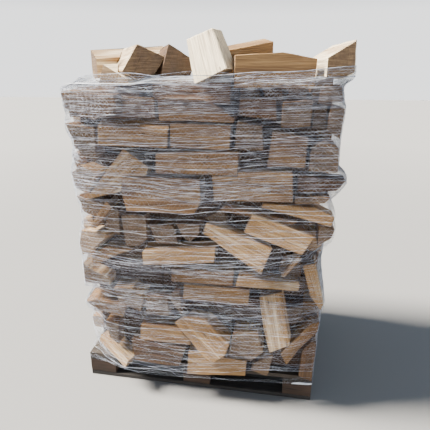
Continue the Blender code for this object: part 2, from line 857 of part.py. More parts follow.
def main():
    for old in list(bpy.data.objects):
        bpy.data.objects.remove(old)
    fresh = material("fresh_split_wood", FRESH_WOOD, 0.75)
    old = material("old_pallet_wood", OLD_WOOD, 0.85)
    white = material("white_net", NET_WHITE, 0.45)
    build_pallet(old)
    logs = free_logs(fresh)
    stack = build_stack([room for _, room in logs], fresh)
    bpy.context.view_layer.update()
    decks = [o for o in bpy.context.scene.objects if o.name.startswith(("deck_board", "stringer"))]
    build_net([*(log for log, _ in logs), stack, *decks], white)


main()
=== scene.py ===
"""The looks of a pallet of netted firewood, for Blender 4.5. Metres, +Z up, front towards -Y.

Every log is a separate split log here: those with a node of their own are worked up from
it, and the rest of the stack follows the rule by which its one solid was drawn. The net is
made of strands that run tight round the load, with thin threads between them.
"""

import math
import random

import bmesh
import bpy
import numpy as np
from mathutils import Matrix, Vector, noise


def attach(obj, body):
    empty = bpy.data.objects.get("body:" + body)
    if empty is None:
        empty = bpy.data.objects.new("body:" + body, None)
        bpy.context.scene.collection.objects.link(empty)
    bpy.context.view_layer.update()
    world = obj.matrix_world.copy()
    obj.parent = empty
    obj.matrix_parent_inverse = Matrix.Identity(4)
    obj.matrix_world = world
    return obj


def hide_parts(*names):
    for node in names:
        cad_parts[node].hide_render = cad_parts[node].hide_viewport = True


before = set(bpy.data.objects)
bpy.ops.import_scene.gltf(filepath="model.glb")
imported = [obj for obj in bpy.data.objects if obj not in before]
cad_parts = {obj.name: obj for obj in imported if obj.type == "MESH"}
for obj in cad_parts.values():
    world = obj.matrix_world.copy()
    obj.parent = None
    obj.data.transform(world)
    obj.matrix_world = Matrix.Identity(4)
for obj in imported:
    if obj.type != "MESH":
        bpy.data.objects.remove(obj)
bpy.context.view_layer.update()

# The stack, as its solids have it, in metres and degrees
DECK_TOP = 0.144
LOG_LONG = 0.33
STACK_FOOT = DECK_TOP + 0.002
STACK_TOP = 1.590
SIDE_X = 0.600
BACK_Y = 0.450
CORE_INSET = 0.115
TOP_FRONT = -0.425
TOP_INSET = 0.020
TOP_TALL = 0.115
TOP_DROP = (0.050, 0.0, 0.005)
COURSE_LOW = 0.090
COURSE_HIGH = 0.135
THROWN_DEEP = 0.075
THROWN_TALL = 0.100
THROWN_PROUD = 0.018
THROWN_TILT = (22, 75)
THROWN_MARGIN = 0.12
LAID_SHARE = 0.62
LAID_DEEP = (0.100, 0.120)
LAID_TILT = 5
LAID_BAY = 0.25
LAID_UNEVEN = (-0.015, 0.012)
ENDS_PITCH = (0.105, 0.135)
ENDS_ROLL = 6
PROUD = (-0.020, 0.012)
SET_BACK = 0.008
LAP = 0.004
ROW_GAP = 0.008
END_GAP = 0.012
BAND_SPLITS = (0.62, 1.06)
BAND_SHIFT = 0.08
COURSE_FOOT = STACK_FOOT + 0.006
TOP_UNEVEN = 0.018
TOP_PITCH = (0.095, 0.120)
TOP_TILT = 2
BACK_BAYS = (0.345, 0.345, 0.345, 0.160)
SIDE_BAYS = ((0.335, 0.335), (0.165, 0.340, 0.165), (0.335, 0.165, 0.165))
BACK_CORNER_DEEP = 0.130
HEAP_SEED = 41
INNER_DEEP = 0.110
INNER_TOP = 1.515
INNER_TILT = 1.5
# Heading, distance of the row's face from the middle, and half its length
INNER_ROWS = ((270, 0.360, 0.530), (90, 0.320, 0.530), (0, 0.465, 0.240), (180, 0.465, 0.240))
# The upright plane on which the front's outlines are drawn, and the eye that sees them so
DRAWN_Y = -0.45
EYE = Vector((0.39, -2.10, 1.58))

# The camera, fitted to the pallet's front: place, turn and tilt in degrees, lens in millimetres
CAMERA_AT = (0.389, -2.103, 1.579)
CAMERA_TURN = 9.59
CAMERA_DOWN = 19.0
CAMERA_LENS = 33.5
SENSOR = 36.0

# Floor and light
FLOOR_HALF = 30.0
FLOOR_DROP = -0.0006
SKY_STRENGTH = 2.0
SKY_LOW = (0.98, 0.99, 1.0, 1.0)
SKY_HIGH = (0.165, 0.20, 0.245, 1.0)
SKY_PLACES = (0.13, 0.26)
SUN_FROM = (-4.4, -0.38, 4.9)
SUN_WIDE = 16.0
SUN_ENERGY = 24.0
SUN_COLOUR = (1.0, 0.93, 0.82)
FILL_AT = (2.2, -4.2, 2.6)
FILL_AIM = (0.0, 0.0, 0.8)
FILL_SIZE = 3.5
FILL_POWER = 12.0
FILL_COLOUR = (0.90, 0.95, 1.0)

# Split wood: sizes in metres, edges' angles in radians, facings as cosines
CELL_LONG = 0.024
CELL_WIDE = 0.019
WORN_EDGE = 0.0035
UNEVEN = 0.0032
WORN_SPREAD = (0.6, 1.5)
PITH_AWAY = (0.5, 1.3)
CELL_SHIFT = 0.22
SHARP_FROM = 0.4
SMOOTH_TO = 0.5
END_FACING = 0.72
BARK_FACING = 0.55
FLAT_END = 0.8
END_CALM = 0.25
DETAIL_SEED = 7
# Scale of the cells on logs with nodes, on the back, sides and top, and on the inner rows
FINE = 0.8
COARSE = 1.15
PLAIN = 4.0
# Lowest, highest and usual tone
SIDE_TONES = (0.1, 0.9, 0.5)
# The top course is kept darker, as painted shade under the net and the top logs
TOP_COURSE_TONES_WITH_PAINTED_SHADE = (0.0, 0.6, 0.3)
# The inner rows sit at the darkest brown, as painted shade deep in the gaps between the outer logs
INNER_PAINTED_SHADE_TONES = (-0.5, 0.1)
PALEST = 0.68
BARKED_SHARE = 0.14
SPLIT_RINGS = 0.0075
SAWN_RINGS = 0.0048

# The net
NET_FOOT = 0.104
NET_STAND_OFF = 0.0035
THREAD_SHARE = 0.86
# A strand's radius as a share of its turn's: lowest, highest and usual
UNEVEN_THICK = (0.35, 2.9, 0.5)
ZIG_SHIFT = 0.38
LOOSE_THICK = 0.00034
LOOSE_LONG = (0.15, 0.55)
LOOSE_RISE = 0.10
LOOSE_SAG = (0.002, 0.012)
LOOSE_POINTS = 14
GRID_CELL = 0.02
GRID_HALF = 36
FOLD_STRANDS = 24
FOLD_DEEP = 0.16
FOLD_LEVEL = 1.505
FOLD_FLOOR = 1.550
FOLD_THICK = 0.00050
FOLD_SWAY = 0.006
FOLD_RIPPLE = 0.001
ZIGZAG = 0.021
LEVEL = 0.010
LEVELS = (0.09, 1.66)
LEVEL_REACH = 0.024
LEAN_IN = 0.006
DRAWN_IN = 0.003
LOOP_POINTS = 240
TAIL_STRANDS = 16
TAIL_STRAND = 0.0011
LOOSE_THREADS = 420
TAIL_HIGH = 0.134
TAIL_TALL = 0.017
TAIL_DROP = 0.006
TAIL_RIPPLE = 0.0012
TAIL_POINTS = 24
TAIL_TURN = (math.atan2(-0.42, 0.470), math.atan2(-0.42, 0.585))
DIRECTIONS = 120
ANGLES = 720

# Logs of the stack's one solid that show in front: outline of the face as drawn (x, z),
# the y of the face, how deep the log goes, and its tone, from 0 for brown to 1 for pale
BACKED_LOGS = [
    dict(face=[(-0.405, 0.590), (-0.380, 0.505), (-0.270, 0.465), (-0.250, 0.550), (-0.310, 0.600)],
         y=-0.452, deep=0.30, tone=0.55),
    dict(face=[(-0.112, 0.550), (-0.060, 0.462), (-0.058, 0.548), (-0.060, 0.600), (-0.100, 0.600)],
         y=-0.448, deep=0.30, tone=0.30),
    dict(face=[(-0.240, 0.560), (-0.240, 0.450), (-0.120, 0.456), (-0.122, 0.560)],
         y=-0.430, deep=0.30, tone=0.35),
    dict(face=[(-0.462, 0.400), (-0.450, 0.290), (-0.400, 0.250), (-0.392, 0.388)],
         y=-0.440, deep=0.14, tone=0.45),
    dict(face=[(0.290, 0.185), (0.375, 0.160), (0.400, 0.285), (0.310, 0.240)],
         y=-0.446, deep=0.30, tone=0.55),
    dict(face=[(-0.205, 0.940), (-0.165, 0.842), (-0.060, 0.845), (-0.085, 0.940)],
         y=-0.430, deep=0.30, tone=0.30),
    dict(face=[(-0.420, 0.905), (-0.345, 0.870), (-0.340, 1.000), (-0.390, 1.020)],
         y=-0.425, deep=0.30, tone=0.30),
    dict(face=[(0.130, 1.022), (0.440, 0.968), (0.470, 0.988), (0.150, 1.050)],
         y=-0.425, deep=0.10, tone=0.45),
    dict(face=[(0.450, 1.070), (0.575, 1.077), (0.600, 1.105), (0.450, 1.103)],
         y=-0.448, deep=0.20, tone=0.55),
    dict(face=[(0.455, 1.118), (0.620, 1.132), (0.655, 1.182), (0.460, 1.196)],
         y=-0.430, deep=0.12, tone=0.20),
    dict(face=[(0.560, 0.880), (0.618, 0.920), (0.630, 0.968), (0.560, 0.980)],
         y=-0.440, deep=0.20, tone=0.30),
    dict(face=[(0.505, 0.785), (0.550, 0.630), (0.600, 0.565), (0.614, 0.600), (0.560, 0.800)],
         y=-0.448, deep=0.12, tone=0.70),
    dict(face=[(0.525, 0.180), (0.592, 0.158), (0.600, 0.385), (0.572, 0.400), (0.530, 0.330)],
         y=-0.430, deep=0.12, tone=0.20),
    dict(face=[(0.375, 1.385), (0.495, 1.390), (0.498, 1.496), (0.380, 1.490)],
         y=-0.440, deep=0.28, tone=0.40),
    dict(face=[(0.205, 1.432), (0.360, 1.415), (0.352, 1.500), (0.210, 1.502)],
         y=-0.430, deep=0.12, tone=0.35),
    dict(face=[(0.190, 1.292), (0.312, 1.290), (0.300, 1.392), (0.200, 1.412)],
         y=-0.440, deep=0.28, tone=0.40),
    dict(face=[(0.328, 1.225), (0.485, 1.225), (0.488, 1.350), (0.345, 1.372)],
         y=-0.432, deep=0.12, tone=0.45),
    dict(face=[(0.410, 0.722), (0.430, 0.718), (0.500, 0.815), (0.480, 0.830)],
         y=-0.450, deep=0.10, tone=0.65),
    dict(face=[(-0.500, 0.905), (-0.462, 0.900), (-0.375, 1.010), (-0.400, 1.040)],
         y=-0.455, deep=0.12, tone=0.50),
    dict(face=[(-0.553, 0.605), (-0.420, 0.600), (-0.415, 0.645), (-0.500, 0.680), (-0.553, 0.720)],
         y=-0.435, deep=0.22, tone=0.75),
    dict(face=[(-0.545, 1.060), (-0.500, 0.970), (-0.420, 0.960), (-0.410, 1.030), (-0.500, 1.045)],
         y=-0.425, deep=0.26, tone=0.40),
    dict(face=[(-0.500, 0.700), (-0.360, 0.772), (-0.290, 0.800), (-0.420, 0.815), (-0.500, 0.765)],
         y=-0.440, deep=0.14, tone=0.45),
    dict(face=[(-0.290, 1.420), (-0.145, 1.415), (-0.145, 1.500), (-0.285, 1.505)],
         y=-0.430, deep=0.12, tone=0.35),
    dict(face=[(0.555, 1.375), (0.612, 1.345), (0.620, 1.465), (0.565, 1.480)],
         y=-0.420, deep=0.22, tone=0.35),
    dict(face=[(0.515, 1.480), (0.610, 1.490), (0.600, 1.552), (0.520, 1.548)],
         y=-0.420, deep=0.22, tone=0.35),
    dict(face=[(0.420, 0.560), (0.520, 0.575), (0.535, 0.500), (0.470, 0.470)],
         y=-0.400, deep=0.30, tone=0.30),
    dict(face=[(0.400, 0.740), (0.500, 0.725), (0.500, 0.800), (0.420, 0.830)],
         y=-0.405, deep=0.10, tone=0.35),
    dict(face=[(0.060, 0.985), (0.150, 1.030), (0.170, 0.960), (0.090, 0.965)],
         y=-0.400, deep=0.30, tone=0.30),
]

# Logs deeper in, behind wide gaps of the front. The two at tone 0 are at the darkest brown, as painted shade
# deep in those gaps
FILLING_LOGS = [
    dict(face=[(0.498, 1.383), (0.556, 1.380), (0.554, 1.480), (0.498, 1.480)],
         y=-0.390, deep=0.30, tone=0.0),
    dict(face=[(-0.390, 1.522), (-0.150, 1.530), (-0.150, 1.576), (-0.385, 1.570)],
         y=-0.300, deep=0.10, tone=0.4),
    dict(face=[(0.350, 1.488), (0.400, 1.488), (0.400, 1.532), (0.350, 1.530)],
         y=-0.360, deep=0.30, tone=0.0),
]

# Logs tucked into notches of the top course: middle, heading, length, width, height and tone
TUCKED_LOGS = (
    ((0.412, 0.010, 1.531), 0, 0.320, 0.136, 0.108, 0.35),
    ((0.430, 0.020, 1.433), 0, 0.270, 0.105, 0.074, 0.25),
)

# Tones of the logs with nodes of their own, in the order of their numbers
FRONT_TONES = (
    0.50, 0.58, 0.48, 0.52, 0.48, 0.40, 0.68, 0.38, 0.36, 0.66,
    0.36, 0.72, 0.70, 0.60, 0.34, 0.26, 0.68, 0.70, 0.50, 0.55,
    0.64, 0.76, 0.50, 0.68, 0.56, 0.64, 0.54, 0.22, 0.74, 0.46,
)
# Several top logs' tones are raised where their faces take the sun, as painted sunlight; above 1 on the
# brightest
TOP_TONES_WITH_PAINTED_SUN = (0.52, 0.82, 0.20, 1.25, 0.95, 1.60, 0.82, 0.62)
BARKED = ("front_log_09",)

# Ends of split logs as outlines one unit wide and high
SECTIONS = [
    [(-0.50, -0.50), (0.46, -0.44), (0.50, 0.40), (-0.44, 0.50)],
    [(-0.50, -0.50), (0.50, -0.36), (0.42, 0.20), (-0.10, 0.50), (-0.46, 0.42)],
    [(-0.50, -0.48), (0.30, -0.50), (0.50, -0.10), (0.36, 0.30), (-0.06, 0.50), (-0.40, 0.46)],
    [(-0.50, -0.20), (-0.20, -0.50), (0.34, -0.46), (0.50, 0.50), (-0.36, 0.44)],
    [(-0.46, -0.50), (0.50, -0.42), (0.40, 0.36), (-0.50, 0.50)],
]


# Materials


class Look:
    """A material and its nodes. Each method but finish returns the output to use next."""

    def __init__(self, name, roughness):
        self.material = bpy.data.materials.new(name)
        self.material.use_nodes = True
        self.tree = self.material.node_tree
        self.shader = self.tree.nodes["Principled BSDF"]
        self.shader.inputs["Roughness"].default_value = roughness

    def add(self, kind, output=0, inputs=(), **settings):
        made = self.tree.nodes.new(kind)
        for name, value in settings.items():
            setattr(made, name, value)
        for slot, value in dict(inputs).items():
            if isinstance(value, bpy.types.NodeSocket):
                self.tree.links.new(value, made.inputs[slot])
            else:
                made.inputs[slot].default_value = value
        return made.outputs[output]

    def attribute(self, name, output):
        return self.add("ShaderNodeAttribute", output, attribute_name=name)

    def stretched(self, coords, scale):
        return self.add("ShaderNodeVectorMath", 0, {0: coords, 1: scale}, operation="MULTIPLY")

    def noise(self, coords, scale, detail=2.0, rough=0.5):
        inputs = {"Vector": self.stretched(coords, scale), "Scale": 1.0, "Detail": detail, "Roughness": rough}
        return self.add("ShaderNodeTexNoise", "Fac", inputs)

    def cells(self, coords, scale, output="Distance", feature="F1"):
        inputs = {"Vector": self.stretched(coords, scale), "Scale": 1.0}
        return self.add("ShaderNodeTexVoronoi", output, inputs, feature=feature)

    def maths(self, operation, a, b=0.0, clamp=False):
        return self.add("ShaderNodeMath", 0, {0: a, 1: b}, operation=operation, use_clamp=clamp)

    def spread(self, value, low, high, to_low=0.0, to_high=1.0):
        """value from low to high becomes to_low to to_high, and stays within them."""
        inputs = {"Value": value, "From Min": low, "From Max": high, "To Min": to_low, "To Max": to_high}
        return self.add("ShaderNodeMapRange", 0, inputs)

    def ramp(self, value, stops):
        made = self.tree.nodes.new("ShaderNodeValToRGB")
        self.tree.links.new(value, made.inputs[0])
        while len(made.color_ramp.elements) < len(stops):
            made.color_ramp.elements.new(0.5)
        for element, (place, colour) in zip(made.color_ramp.elements, stops):
            element.position = place
            element.color = (*colour, 1.0)
        return made.outputs[0]

    def mix(self, share, a, b, kind="MIX"):
        made = self.tree.nodes.new("ShaderNodeMix")
        made.data_type = "RGBA"
        made.blend_type = kind
        for slot, value in ((0, share), (6, a), (7, b)):
            if isinstance(value, bpy.types.NodeSocket):
                self.tree.links.new(value, made.inputs[slot])
            elif slot == 0:
                made.inputs[slot].default_value = value
            else:
                made.inputs[slot].default_value = (*value, 1.0)
        return made.outputs[2]

    def finish(self, colour, height, depth, strength=0.7):
        self.tree.links.new(colour, self.shader.inputs["Base Color"])
        bump = self.add("ShaderNodeBump", 0, {"Height": height, "Distance": depth, "Strength": strength})
        self.tree.links.new(bump, self.shader.inputs["Normal"])
        return self.material


# Colours, the pallet's and the net's as the darkest and the lightest
BROWN = (0.048, 0.022, 0.009)
TAN = (0.165, 0.084, 0.031)
PALE = (0.370, 0.218, 0.083)
CREAM = (0.900, 0.780, 0.560)
CRACK = (0.022, 0.012, 0.006)
GREYED = (0.205, 0.165, 0.120)
GRIME = (0.115, 0.088, 0.068)
BOARD_CRACK = (0.010, 0.008, 0.007)
BOARD_COLOURS = ((0.013, 0.012, 0.012), (0.048, 0.042, 0.038))
DECK_COLOURS = ((0.012, 0.010, 0.009), (0.085, 0.064, 0.048))
BLOCK_COLOURS = ((0.012, 0.007, 0.005), (0.064, 0.036, 0.022))
# The net in shade: its plastic with a painted bluish shade tint, dark between painted glints
PAINTED_SHADE_NET = ((0.15, 0.18, 0.25), (0.66, 0.715, 0.84))
# The net where the sun falls, on its fold and tail: the same plastic made lighter, as painted sunlight
PAINTED_SUNLIT_NET = ((0.70, 0.76, 0.86), (0.86, 0.91, 0.98))


def wood_base(look, grain, share):
    """The colour of fresh wood: its own tone, patches of sap and heart wood, and fibres."""
    patches = look.noise(grain, (3.0, 16.0, 16.0), 3.0)
    patches = look.spread(patches, 0.3, 0.7, -0.13, 0.13)
    streaks = look.noise(grain, (2.0, 70.0, 70.0), 4.0, 0.6)
    streaks = look.spread(streaks, 0.30, 0.70, -0.13, 0.13)
    level = look.maths("ADD", look.maths("ADD", share, patches), streaks, clamp=True)
    return look.ramp(level, ((0.05, BROWN), (0.38, TAN), (0.72, PALE), (1.0, CREAM)))


def ring_radius(look, grain):
    """The distance to the pith, a little uneven along the log."""
    parts = look.add("ShaderNodeSeparateXYZ", 0, {0: grain}).node
    flat = look.add("ShaderNodeCombineXYZ", 0, {1: parts.outputs[1], 2: parts.outputs[2]})
    radius = look.add("ShaderNodeVectorMath", 1, {0: flat}, operation="LENGTH")
    sway = look.noise(grain, (5.0, 22.0, 22.0), 2.0)
    return look.maths("ADD", radius, look.spread(sway, 0.0, 1.0, -0.008, 0.008)), parts


def split_wood():
    look = Look("split_wood", 0.72)
    grain = look.attribute("grain", "Vector")
    tone = look.attribute("tone", "Fac")
    base = wood_base(look, grain, tone)
    radius, _ = ring_radius(look, grain)
    rings = look.maths("SINE", look.maths("MULTIPLY", radius, 2 * math.pi / SPLIT_RINGS))
    faint = look.spread(tone, 0.80, 1.25, 0.30, 0.10)
    base = look.mix(look.maths("MULTIPLY", look.spread(rings, 0.1, 1.0), faint), base, TAN)
    knots = look.cells(grain, (5.5, 13.0, 13.0))
    chosen = look.cells(grain, (5.5, 13.0, 13.0), "Color")
    chosen = look.add("ShaderNodeSeparateColor", 0, {0: chosen})
    few = look.maths("GREATER_THAN", chosen, 0.80)
    halo = look.maths("MULTIPLY", look.spread(knots, 0.14, 0.34, 1.0, 0.0), few)
    eye = look.maths("MULTIPLY", look.spread(knots, 0.07, 0.13, 1.0, 0.0), few)
    base = look.mix(look.maths("MULTIPLY", halo, 0.55), base, BROWN)
    base = look.mix(look.maths("MULTIPLY", eye, 0.9), base, CRACK)
    flecks = look.cells(grain, (16.0, 42.0, 42.0))
    fleck_pick = look.cells(grain, (16.0, 42.0, 42.0), "Color")
    fleck_pick = look.add("ShaderNodeSeparateColor", 1, {0: fleck_pick})
    some = look.maths("GREATER_THAN", fleck_pick, 0.80)
    fleck = look.maths("MULTIPLY", look.spread(flecks, 0.09, 0.17, 0.8, 0.0), some)
    base = look.mix(fleck, base, BROWN)
    fibres = look.noise(grain, (7.0, 260.0, 260.0), 3.0, 0.65)
    base = look.mix(look.spread(fibres, 0.36, 0.62, 0.55, 0.0), base, TAN, "MULTIPLY")
    tears = look.noise(grain, (2.6, 46.0, 46.0), 3.0, 0.6)
    dark = look.spread(tears, 0.285, 0.335, 0.75, 0.0)
    base = look.mix(dark, base, CRACK)
    relief = look.maths("ADD", look.maths("MULTIPLY", fibres, 0.35), look.spread(tears, 0.25, 0.6))
    return look.finish(base, relief, 0.004)


def end_grain():
    look = Look("end_grain", 0.80)
    grain = look.attribute("grain", "Vector")
    tone = look.attribute("tone", "Fac")
    share = look.spread(tone, 0.0, 1.6, 0.16, 0.70)
    base = wood_base(look, grain, share)
    radius, parts = ring_radius(look, grain)
    rings = look.maths("SINE", look.maths("MULTIPLY", radius, 2 * math.pi / SAWN_RINGS))
    base = look.mix(look.spread(rings, 0.0, 1.0, 0.0, 0.45), base, BROWN)
    base = look.mix(0.35, base, GREYED)
    marks = look.noise(grain, (0.0, 10.0, 170.0), 3.0, 0.6)
    base = look.mix(look.spread(marks, 0.38, 0.60, 0.62, 0.0), base, BROWN)
    angle = look.add("ShaderNodeMath", 0, {0: parts.outputs[2], 1: parts.outputs[1]}, operation="ARCTAN2")
    fan = look.add("ShaderNodeCombineXYZ", 0, {0: angle, 1: radius, 2: parts.outputs[0]})
    cracks = look.noise(fan, (26.0, 7.0, 3.0), 2.0)
    dark = look.spread(cracks, 0.27, 0.33, 0.85, 0.0)
    base = look.mix(dark, base, CRACK)
    grime = look.noise(grain, (9.0, 24.0, 24.0), 4.0)
    base = look.mix(look.spread(grime, 0.48, 0.72, 0.0, 0.40), base, GRIME)
    saw = look.noise(grain, (30.0, 420.0, 60.0), 1.0)
    relief = look.maths("ADD", look.maths("MULTIPLY", saw, 0.3), look.spread(cracks, 0.25, 0.45))
    return look.finish(base, relief, 0.0025)


def bark():
    look = Look("bark", 0.90)
    grain = look.attribute("grain", "Vector")
    plates = look.cells(grain, (11.0, 48.0, 48.0), "Distance", "DISTANCE_TO_EDGE")
    rough = look.noise(grain, (40.0, 120.0, 120.0), 5.0, 0.65)
    level = look.maths("ADD", look.spread(plates, 0.0, 0.22), look.maths("MULTIPLY", rough, 0.6))
    stops = ((0.25, (0.022, 0.015, 0.011)), (0.6, (0.085, 0.058, 0.040)), (1.0, (0.19, 0.15, 0.115)))
    return look.finish(look.ramp(look.maths("MULTIPLY", level, 0.7), stops), level, 0.006)


def pallet_wood(name, scale, dark, light):
    """Weathered board. scale is small along the board's own grain."""
    look = Look(name, 0.85)
    place = look.add("ShaderNodeTexCoord", "Object")
    x, y, z = scale
    streaks = look.noise(place, (x * 60, y * 60, z * 60), 5.0, 0.6)
    patches = look.noise(place, (7.0, 9.0, 9.0), 3.0)
    level = look.maths("ADD", look.maths("MULTIPLY", streaks, 0.7), look.maths("MULTIPLY", patches, 0.5))
    base = look.ramp(look.spread(level, 0.35, 0.85), ((0.0, dark), (1.0, light)))
    cracks = look.noise(place, (x * 90 + 2, y * 90 + 2, z * 90 + 2), 3.0)
    base = look.mix(look.spread(cracks, 0.30, 0.36, 0.9, 0.0), base, BOARD_CRACK)
    relief = look.maths("ADD", streaks, look.spread(cracks, 0.28, 0.42))
    return look.finish(base, relief, 0.002)


def net_plastic(name, colour_between_glints, glint_colour):
    look = Look(name, 0.38)
    place = look.add("ShaderNodeTexCoord", "Object")
    # Painted glints: bright and dark dashes along the strands, about a stitch apart, between the two colours
    painted_glints = look.noise(place, (26.0, 26.0, 95.0), 3.0)
    base = look.mix(look.spread(painted_glints, 0.36, 0.64), colour_between_glints, glint_colour)
    weave = look.noise(place, (900.0, 900.0, 900.0), 1.0)
    return look.finish(base, weave, 0.0003, 0.4)


def floor_paint():
    look = Look("floor_paint", 0.85)
    place = look.add("ShaderNodeTexCoord", "Object")
    cloud = look.noise(place, (0.5, 0.5, 0.5), 2.0)
    away = look.add("ShaderNodeVectorMath", 1, {0: place}, operation="LENGTH")
    level = look.maths("ADD", look.spread(away, 2.5, 9.0, 0.0, 0.9), look.spread(cloud, 0.3, 0.7, 0.0, 0.1))
    base = look.mix(level, (0.24, 0.24, 0.24), (0.31, 0.31, 0.31))
    return look.finish(base, cloud, 0.0005, 0.1)


# Shapes of the logs, by the same rule as the stack's solid


def on_sight(x, z, y):
    """The point at depth y that is seen where (x, z) is drawn on the front plane."""
    share = (y - EYE.y) / (DRAWN_Y - EYE.y)
    return Vector((EYE.x + (x - EYE.x) * share, y, EYE.z + (z - EYE.z) * share))


def loft(rings):
    """A closed bmesh between two outlines of equal count."""
    bm = bmesh.new()
    lower, upper = ([bm.verts.new(point) for point in ring] for ring in rings)
    count = len(lower)
    bm.faces.new(reversed(lower))
    bm.faces.new(upper)
    for i in range(count):
        j = (i + 1) % count
        bm.faces.new((lower[i], lower[j], upper[j], upper[i]))
    bmesh.ops.recalc_face_normals(bm, faces=bm.faces)
    return bm


def drawn_log(face, y, deep):
    front = [on_sight(px, pz, y) for px, pz in face]
    return loft([front, [p + Vector((0.0, deep, 0.0)) for p in front]])


def split_log(place, length, width, height, section, flip):
    outline = [(u * width * flip[0], v * height * flip[1]) for u, v in section]
    return loft([[place @ Vector((x, u, v)) for u, v in outline] for x in (-length / 2, length / 2)])


def log_pose(middle, heading, tilt=0.0, roll=0.0):
    """A log's place: its length points along heading about z, and its end lifts by tilt."""
    turn = Matrix.Rotation(math.radians(heading), 4, "Z")
    turn = turn @ Matrix.Rotation(math.radians(-tilt), 4, "Y")
    turn = turn @ Matrix.Rotation(math.radians(roll), 4, "X")
    return Matrix.Translation(middle) @ turn


def random_log(dice, place, length, width, height):
    flip = (dice.choice((-1, 1)), dice.choice((-1, 1)))
    return dict(
        place=place,
        length=length,
        width=width,
        height=height,
        section=dice.choice(SECTIONS),
        flip=flip,
    )


def thrown_logs(dice, reach, foot, head, number):
    """Logs that lie askew over one side, as (across, z, tilt) of their middles."""
    places = []
    for i in range(number):
        z = foot + (i + dice.uniform(0.2, 0.8)) * (head - foot) / number
        tilt = dice.choice((-1, 1)) * dice.uniform(*THROWN_TILT)
        places.append((dice.uniform(-reach, reach), z, tilt))
    return places


def lies_behind(thrown, across, z, half_long, half_tall):
    """Whether a log of a course, in the side's own plane, is behind one that lies askew."""
    for a, up, tilt in thrown:
        c, s = math.cos(math.radians(tilt)), math.sin(math.radians(tilt))
        for i in range(-4, 5):
            for j in (-1, 0, 1):
                da = across + half_long * i / 4 - a
                dz = z + half_tall * j - up
                if abs(da * c + dz * s) < LOG_LONG / 2 and abs(dz * c - da * s) < THROWN_TALL / 2:
                    return True
    return False


def side_courses(dice, heading, plane, low, high, bays, thrown, corner_deep):
    """Logs of one upright side, in piles of courses. bays are the widths of the piles."""
    out = Vector((math.cos(math.radians(heading)), math.sin(math.radians(heading)), 0.0))
    across = Vector((-out.y, out.x, 0.0))
    logs = []
    start = -sum(bays) / 2
    for bay in bays:
        at_corner = abs(start + bay / 2) + bay / 2 > sum(bays) / 2 - 0.01
        z = low
        while z < high - COURSE_LOW:
            tall = min(dice.uniform(COURSE_LOW, COURSE_HIGH), high - z)
            laid_across = bay > LAID_BAY and dice.random() < LAID_SHARE
            number = 1 if laid_across else max(1, round(bay / dice.uniform(*ENDS_PITCH)))
            wide = bay / number
            for i in range(number):
                at = start + (i + 0.5) * wide
                proud = dice.uniform(*PROUD)
                if lies_behind(thrown, at, z + tall / 2, wide / 2, tall / 2):
                    proud = THROWN_PROUD - THROWN_DEEP + dice.uniform(-SET_BACK, SET_BACK)
                if laid_across:
                    tilt = dice.uniform(-LAID_TILT, LAID_TILT)
                    deep = max(dice.uniform(*LAID_DEEP), CORE_INSET + proud + LAP)
                    length = min(bay - ROW_GAP, LOG_LONG + dice.uniform(*LAID_UNEVEN))
                    height = tall - LAP - length * abs(math.sin(math.radians(tilt))) / 2
                    middle = across * at + out * (plane + proud - deep / 2)
                    place = log_pose(middle + Vector((0, 0, z + tall / 2)), heading + 90, tilt)
                    logs.append(random_log(dice, place, length, deep, height))
                else:
                    deep = corner_deep if at_corner else LOG_LONG
                    middle = across * at + out * (plane + proud - deep / 2)
                    roll = dice.uniform(-ENDS_ROLL, ENDS_ROLL)
                    place = log_pose(middle + Vector((0, 0, z + tall / 2)), heading, 0, roll)
                    logs.append(random_log(dice, place, deep, wide - END_GAP, tall - END_GAP))
            z += tall
        start += bay
    return logs


def askew_logs(dice, heading, plane, thrown):
    """The logs that lie askew over one side."""
    out = Vector((math.cos(math.radians(heading)), math.sin(math.radians(heading)), 0.0))
    across = Vector((-out.y, out.x, 0.0))
    logs = []
    for a, z, tilt in thrown:
        middle = across * a + out * (plane + THROWN_PROUD - THROWN_DEEP / 2)
        place = log_pose(middle + Vector((0, 0, z)), heading + 90, tilt)
        logs.append(random_log(dice, place, LOG_LONG, THROWN_DEEP, THROWN_TALL))
    return logs


def top_course(dice):
    """Logs lying flat over the whole top, in piles whose logs run one way."""
    span = 2 * (SIDE_X - TOP_INSET) / 3
    depth = (BACK_Y - TOP_INSET - TOP_FRONT) / 2
    logs = []
    for column in range(3):
        for row in range(2):
            corner = Vector((-SIDE_X + TOP_INSET + column * span, TOP_FRONT + row * depth, 0.0))
            along_x = dice.random() < 0.5
            length, cross = (span, depth) if along_x else (depth, span)
            number = round(cross / dice.uniform(*TOP_PITCH))
            wide = cross / number
            for i in range(number):
                along = dice.uniform(0.0, length - LOG_LONG) + LOG_LONG / 2
                over = (i + 0.5) * wide
                middle = corner + Vector((along, over, 0.0) if along_x else (over, along, 0.0))
                middle.z = STACK_TOP - TOP_TALL / 2 + dice.uniform(-TOP_UNEVEN, 0.0) - TOP_DROP[column]
                place = log_pose(middle, 0 if along_x else 90, dice.uniform(-TOP_TILT, TOP_TILT))
                logs.append(random_log(dice, place, LOG_LONG, wide - ROW_GAP, TOP_TALL))
    return logs


